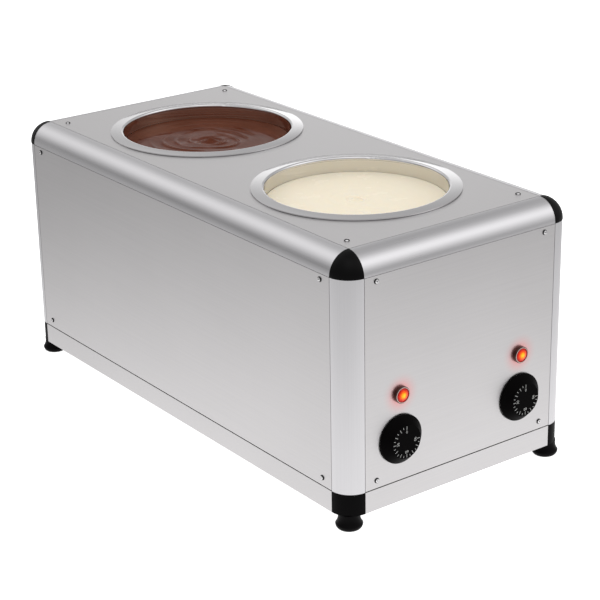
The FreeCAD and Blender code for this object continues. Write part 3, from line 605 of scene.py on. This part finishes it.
def pool_point(centre, level, radius, away, angle, pool):
    """A place on a pool's surface, which is calm and climbs a little where it meets the wall."""
    x, y = away * math.cos(angle), away * math.sin(angle)
    climb = MENISCUS_RISE * math.exp(-(radius - away) / MENISCUS_REACH)
    calm = min(1, (radius - away) / CALM_WIDTH)
    return (centre.x + x, centre.y + y, level + climb + calm * ripple_height(x, y, pool))


def make_pool(name, node, body, material, pool):
    """A pan's melted chocolate, which replaces the plain solid: a rippled top in a tapering pan."""
    low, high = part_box(node)
    centre = (low + high) / 2
    radius = (high.x - low.x) / 2
    level = high.z - LEVEL_DROP
    bm = bmesh.new()
    angles = [math.tau * index / RING_STEPS for index in range(RING_STEPS)]
    middle = bm.verts.new((centre.x, centre.y, level + ripple_height(0, 0, pool)))
    inner = None
    for ring in range(1, SURFACE_RINGS + 1):
        away = radius * (ring / SURFACE_RINGS) ** RING_CROWDING
        outer = ring_of(bm, [pool_point(centre, level, radius, away, angle, pool) for angle in angles])
        if inner:
            bridge(bm, inner, outer)
        else:
            fan(bm, middle, outer)
        inner = outer
    depth = min(POOL_DEPTH, high.z - low.z)
    for ring in range(1, WALL_RINGS + 1):
        drop = depth * ring / WALL_RINGS
        reach = radius - POOL_TAPER * drop
        points = [
            (centre.x + reach * math.cos(angle), centre.y + reach * math.sin(angle), level - drop)
            for angle in angles
        ]
        outer = ring_of(bm, points)
        bridge(bm, inner, outer)
        inner = outer
    bm.faces.new(inner)
    add_mesh(name, mesh_from(bm, name), material, body, [node])


# The stirring of each pool in metres: where its eye is, from one crest to the next, the spiral's arms,
# how far the ripples reach, their height and sharpness, how broken they are, and the peak.
WHITE_POOL = {
    "eye": (0.003, 0.004), "wave": 0.0115, "arms": 0, "reach": 0.042,
    "ripple": 0.00028, "crest": 1.0, "broken": 0.5, "swell": 0.00003,
    "peak": 0.0020, "peak_width": 0.0032, "seed": 3.7,
}
DARK_POOL = {
    "eye": (0.004, 0.002), "wave": 0.0125, "arms": 1, "reach": 0.072,
    "ripple": 0.00066, "crest": 2.4, "broken": 1.9, "swell": 0.00022,
    "peak": 0.0024, "peak_width": 0.0042, "seed": 8.2,
}
WHITE_LOOK = {
    "colour": (0.905, 0.82, 0.655), "deep": (0.90, 0.812, 0.645),
    "roughness": 0.26, "scatter": 0.25, "gloss": 0.03,
}
DARK_LOOK = {
    "colour": (0.108, 0.031, 0.017), "deep": (0.090, 0.024, 0.012),
    "roughness": 0.05, "scatter": 0.12, "gloss": 0.032,
}


def make_chocolates():
    """White chocolate in the front pan and dark chocolate in the rear one."""
    white = chocolate_finish("white_chocolate", **WHITE_LOOK)
    dark = chocolate_finish("dark_chocolate", **DARK_LOOK)
    make_pool("white_pool", "white_chocolate", "front_pan", white, WHITE_POOL)
    make_pool("dark_pool", "dark_chocolate", "rear_pan", dark, DARK_POOL)


TICK_STEP = math.radians(15)
TICK_COUNT = 19
TICK_OUTSIDE = 15.2 * MM
TICK_LONG = 3.3 * MM
TICK_SHORT = 1.9 * MM
TICK_WIDTH = 0.5 * MM
NUMBER_PLACE = 9.6 * MM
NUMBER_SIZE = 3.9 * MM
NUMBER_EVERY = 6
NUMBER_STEP = 30
PRINT_THICKNESS = 0.03 * MM


def number_mesh(words):
    """A number's flat letters, about its own middle, as a mesh in the XY plane."""
    curve = bpy.data.curves.new("number", "FONT")
    curve.body = words
    curve.size = NUMBER_SIZE
    curve.align_x = "CENTER"
    curve.align_y = "CENTER"
    curve.resolution_u = 3
    curve.extrude = PRINT_THICKNESS / 2
    letters = bpy.data.objects.new("number", curve)
    bpy.context.scene.collection.objects.link(letters)
    mesh = shown_mesh(letters)
    bpy.data.objects.remove(letters)
    bpy.data.curves.remove(curve)
    return mesh


def add_tick(bm, turn, length):
    """One printed line on a dial's face, its outer end on the scale's circle."""
    half = TICK_WIDTH / 2
    inside = TICK_OUTSIDE - length
    corners = [(-half, TICK_OUTSIDE), (half, TICK_OUTSIDE), (half, inside), (-half, inside)]
    back = ring_of(bm, [turn @ Vector((x, y, -PRINT_THICKNESS / 2)) for x, y in corners])
    face = ring_of(bm, [turn @ Vector((x, y, PRINT_THICKNESS / 2)) for x, y in corners])
    bridge(bm, back, face)
    bm.faces.new(face)
    bm.faces.new(reversed(back))


def make_dial_marks(side, material):
    """The white scale printed on a dial: it runs from twelve o'clock anticlockwise to three."""
    low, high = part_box("knob_" + side)
    stand = Vector(((low.x + high.x) / 2, low.y - PRINT_THICKNESS / 2, (low.z + high.z) / 2))
    upright = Matrix.Translation(stand) @ Matrix.Rotation(math.pi / 2, 4, "X")
    bm = bmesh.new()
    for index in range(TICK_COUNT):
        turn = upright @ Matrix.Rotation(index * TICK_STEP, 4, "Z")
        add_tick(bm, turn, TICK_SHORT if index % 2 else TICK_LONG)
        if index % NUMBER_EVERY == 0:
            mesh = number_mesh(str(index // NUMBER_EVERY * NUMBER_STEP))
            mesh.transform(turn @ Matrix.Translation((0, NUMBER_PLACE, 0)))
            bm.from_mesh(mesh)
            bpy.data.meshes.remove(mesh)
    name = "dial_scale_" + side
    add_mesh(name, mesh_from(bm, name, smooth=False), material, side + "_dial")


def make_scales():
    """The scales of both dials in matt white ink."""
    ink = moulded("white_ink", (0.42, 0.42, 0.41), 0.6)
    for side in SIDES:
        make_dial_marks(side, ink)


SCREW_HEAD = 2.6 * MM
SCREW_DOME = 1.5 * MM
DOME_STEPS = 8
# The flat middle of the dome, as a share of the head's radius
DOME_FLAT = 0.08
SCREW_SHANK = 1.5 * MM
# The shank's tip, as shares of its radius: how wide its end is, and how long its taper is
TIP_WIDTH = 0.6
TIP_TAPER = 0.5
SCREW_STEPS = 40
RECESS_REACH = 1.45 * MM
RECESS_WIDTH = 0.62 * MM
RECESS_DEPTH = 0.9 * MM
RECESS_FOOT = 0.45


def lathe(bm, outline, steps):
    """Turns an outline of (radius, height) points about Z. It starts and ends on the axis."""
    angles = [math.tau * index / steps for index in range(steps)]
    rings = [
        ring_of(bm, [(radius * math.cos(angle), radius * math.sin(angle), height) for angle in angles])
        for radius, height in outline[1:-1]
    ]
    for lower, upper in zip(rings, rings[1:]):
        bridge(bm, lower, upper)
    for ring, (_, height) in ((rings[0], outline[0]), (rings[-1], outline[-1])):
        fan(bm, bm.verts.new((0, 0, height)), ring)


def cross_cutter(bm):
    """A cross that tapers inward, as a screwdriver's tip does."""
    half = RECESS_WIDTH / 2
    quarter = [(half, half), (half, RECESS_REACH), (-half, RECESS_REACH)]
    outline = []
    for turn in range(4):
        around = Matrix.Rotation(turn * math.pi / 2, 2)
        outline += [around @ Vector(point) for point in quarter]
    top = SCREW_DOME * 2
    foot = SCREW_DOME - RECESS_DEPTH
    upper = ring_of(bm, [(point.x, point.y, top) for point in outline])
    lower = ring_of(bm, [(point.x * RECESS_FOOT, point.y * RECESS_FOOT, foot) for point in outline])
    bridge(bm, lower, upper)
    bm.faces.new(upper)
    bm.faces.new(lower)


def screw_outline(length):
    """The (radius, height) outline of a round-headed screw, whose head stands on the height 0."""
    outline = [(0, -length), (SCREW_SHANK * TIP_WIDTH, -length)]
    outline += [(SCREW_SHANK, -length + SCREW_SHANK * TIP_TAPER), (SCREW_SHANK, 0)]
    for index in range(DOME_STEPS):
        rise = math.pi / 2 * index / DOME_STEPS
        outline.append((SCREW_HEAD * math.cos(rise), SCREW_DOME * math.sin(rise)))
    return outline + [(SCREW_HEAD * DOME_FLAT, SCREW_DOME), (0, SCREW_DOME)]


def screw_mesh(length):
    """A round-headed screw with a cross recess. Its head stands on the plane Z 0."""
    body = bmesh.new()
    lathe(body, screw_outline(length), SCREW_STEPS)
    cutter = bmesh.new()
    cross_cutter(cutter)
    solid = bpy.data.objects.new("screw", mesh_from(body, "screw"))
    tool = bpy.data.objects.new("cross", mesh_from(cutter, "cross"))
    for item in (solid, tool):
        bpy.context.scene.collection.objects.link(item)
    carve = solid.modifiers.new("recess", "BOOLEAN")
    carve.object = tool
    carve.solver = "EXACT"
    mesh = shown_mesh(solid)
    bpy.data.objects.remove(solid)
    bpy.data.objects.remove(tool)
    return mesh


FACINGS = {"top": (0, 0, 1), "front": (0, -1, 0), "rear": (0, 1, 0), "left": (-1, 0, 0), "right": (1, 0, 0)}
RECESS_TURN = math.radians(37)
# The way that each panel's screws face where their painted highlight is brightest
PAINTED_SHINE_WAYS = {**FACINGS, "top": (-0.50, -0.66, 0.56)}


def make_screws():
    """The screws of each panel, each with its cross recess turned its own way."""
    count = 0
    for panel, facing in FACINGS.items():
        node = "screws_" + panel
        low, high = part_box(node)
        aim = Vector(facing).to_track_quat("Z", "Y").to_matrix().to_4x4()
        axis = [index for index in range(3) if facing[index]][0]
        across = [index for index in range(3) if index != axis]
        crest = high[axis] if facing[axis] > 0 else low[axis]
        base = crest - facing[axis] * SCREW_DOME
        screw = screw_mesh(high[axis] - low[axis] - SCREW_DOME)
        bm = bmesh.new()
        for first in (low[across[0]] + SCREW_HEAD, high[across[0]] - SCREW_HEAD):
            for second in (low[across[1]] + SCREW_HEAD, high[across[1]] - SCREW_HEAD):
                place = Vector((0, 0, 0))
                place[axis], place[across[0]], place[across[1]] = base, first, second
                spin = Matrix.Rotation(RECESS_TURN * count, 4, "Z")
                copy = screw.copy()
                copy.transform(Matrix.Translation(place) @ aim @ spin)
                bm.from_mesh(copy)
                bpy.data.meshes.remove(copy)
                count += 1
        name = panel + "_screws"
        # Each panel's screws carry a painted highlight on top of their heads and painted shade elsewhere.
        finish = domed(name, PAINTED_SHINE_WAYS[panel])
        add_mesh(name, mesh_from(bm, name), finish, "housing", [node])
        bpy.data.meshes.remove(screw)


# The studio

FLOOR_SIZE = 30
# What the eye sees added to the floor's own light, so that it looks white away from the shadow
FLOOR_LIFT = 0.93
FLOOR_COLOUR = tint(0.82, 0.82, 0.82)
# The lit pool on the floor that metal sees: its middle, its tone far away, what is added in the
# middle, and its reach in metres.
TABLE_MIDDLE = (0.0, -0.2, 0.0)
TABLE_TONE = 0.45
TABLE_LIT = 0.75
TABLE_REACH = 0.80


def floor_tone(graph):
    """How bright metal sees the floor: a pool of light round the object that fades away."""
    where = graph.add("TexCoord").outputs["Object"]
    away = graph.measure("DISTANCE", where, TABLE_MIDDLE)
    share = graph.math("POWER", graph.math("DIVIDE", away, TABLE_REACH), 2.0)
    soft = graph.math("EXPONENT", graph.math("MULTIPLY", share, -1.0))
    return graph.math("MULTIPLY_ADD", soft, TABLE_LIT, TABLE_TONE)


def make_floor():
    """A plain pale floor, white to the eye, that keeps a soft shadow."""
    bm = bmesh.new()
    half = FLOOR_SIZE / 2
    bm.faces.new(ring_of(bm, [(-half, -half, 0), (half, -half, 0), (half, half, 0), (-half, half, 0)]))
    floor = bpy.data.objects.new("floor", mesh_from(bm, "floor"))
    bpy.context.scene.collection.objects.link(floor)
    material = bpy.data.materials.new("floor")
    material.use_nodes = True
    graph = Graph(material.node_tree)
    path = graph.add("LightPath").outputs
    seen = graph.math("MAXIMUM", path["Is Camera Ray"], path["Is Transmission Ray"])
    lift = graph.math("MULTIPLY", seen, FLOOR_LIFT)
    matt = graph.add("BsdfDiffuse", {"Color": FLOOR_COLOUR}).outputs[0]
    glow = graph.add("Emission", {"Color": tint(1, 1, 1), "Strength": lift}).outputs[0]
    shown = graph.add("AddShader", {0: matt, 1: glow}).outputs[0]
    mirrored = graph.add("Emission", {"Color": tint(1, 1, 1), "Strength": floor_tone(graph)}).outputs[0]
    both = graph.add("MixShader", {0: path["Is Glossy Ray"], 1: shown, 2: mirrored}).outputs[0]
    graph.add("OutputMaterial", {"Surface": both})
    floor.data.materials.append(material)


# How bright the room is for matt surfaces, and for metal between the cards
SKY_AMBIENT = 0.82
ROOM_TONE = 0.5
# Soft cards in the room that metal sees: degrees clockwise from the rear, degrees up, half width in
# degrees, and how much brighter than the room.
ROOM_CARDS = {
    "box high behind": (-20, 40, 20, 0.7),
    "box in front on the right": (135, 35, 20, 1.0),
    "box overhead": (215, 60, 20, 0.9),
    "strip low behind": (40, 5, 12, 0.8),
    "dark card on the left": (-40, 0, 15, -0.3),
}


def card_glow(graph, direction, turn, rise, half_width):
    """How much of a card shows in a direction: all at its middle, half at its half width."""
    across, up = math.radians(turn), math.radians(rise)
    middle = (math.sin(across) * math.cos(up), math.cos(across) * math.cos(up), math.sin(up))
    sharpness = math.log(2) / (1 - math.cos(math.radians(half_width)))
    near = graph.measure("DOT_PRODUCT", direction, middle)
    return graph.math("EXPONENT", graph.math("MULTIPLY", graph.math("SUBTRACT", near, 1.0), sharpness))


def sky_tone(graph):
    """How bright metal sees the room in each direction."""
    direction = graph.add("TexCoord").outputs["Generated"]
    tone = ROOM_TONE
    for turn, rise, half_width, added in ROOM_CARDS.values():
        glow = card_glow(graph, direction, turn, rise, half_width)
        tone = graph.math("MULTIPLY_ADD", glow, added, tone)
    return graph.math("MAXIMUM", tone, 0.0)


def make_sky():
    """The room: white to the eye, even for matt surfaces, and with its cards for metal."""
    world = bpy.data.worlds.new("studio")
    bpy.context.scene.world = world
    world.use_nodes = True
    graph = Graph(world.node_tree)
    path = graph.add("LightPath").outputs
    mirrored = graph.add("Background", {"Color": tint(1, 1, 1), "Strength": sky_tone(graph)}).outputs[0]
    ambient = graph.add("Background", {"Color": tint(1, 1, 1), "Strength": SKY_AMBIENT}).outputs[0]
    white = graph.add("Background", {"Color": tint(1, 1, 1), "Strength": 1.0}).outputs[0]
    room = graph.add("MixShader", {0: path["Is Glossy Ray"], 1: ambient, 2: mirrored}).outputs[0]
    shown = graph.math("MAXIMUM", path["Is Camera Ray"], path["Is Transmission Ray"])
    mixed = graph.add("MixShader", {0: shown, 1: room, 2: white}).outputs[0]
    graph.add("OutputWorld", {"Surface": mixed})


# Each soft box: the way to it from the object, its distance, width, height and power.
SOFT_BOXES = {
    "front_box": ((0.58, -0.74, 0.34), 2.4, 1.2, 0.7, 3.0),
    "back_box": ((-0.37, 0.75, 0.55), 2.6, 1.3, 0.9, 5.0),
    "top_box": ((-0.25, -0.10, 0.96), 2.2, 0.8, 0.8, 7.0),
}
LAMP_AIM = (0.0, 0.0, 0.15)


def make_lamps():
    """Soft boxes that look at the object. Metal sees the cards of the room in their place."""
    for name, (way, distance, width, height, power) in SOFT_BOXES.items():
        data = bpy.data.lights.new(name, "AREA")
        data.shape = "RECTANGLE"
        data.size = width
        data.size_y = height
        data.energy = power
        lamp = bpy.data.objects.new(name, data)
        bpy.context.scene.collection.objects.link(lamp)
        outward = Vector(way).normalized()
        lamp.location = Vector(LAMP_AIM) + outward * distance
        lamp.rotation_mode = "QUATERNION"
        lamp.rotation_quaternion = outward.to_track_quat("Z", "Y")
        lamp.visible_glossy = False


make_camera()
paint_nodes()
make_chocolates()
make_scales()
make_screws()
make_floor()
make_sky()
make_lamps()
bpy.context.scene.view_settings.view_transform = "Standard"
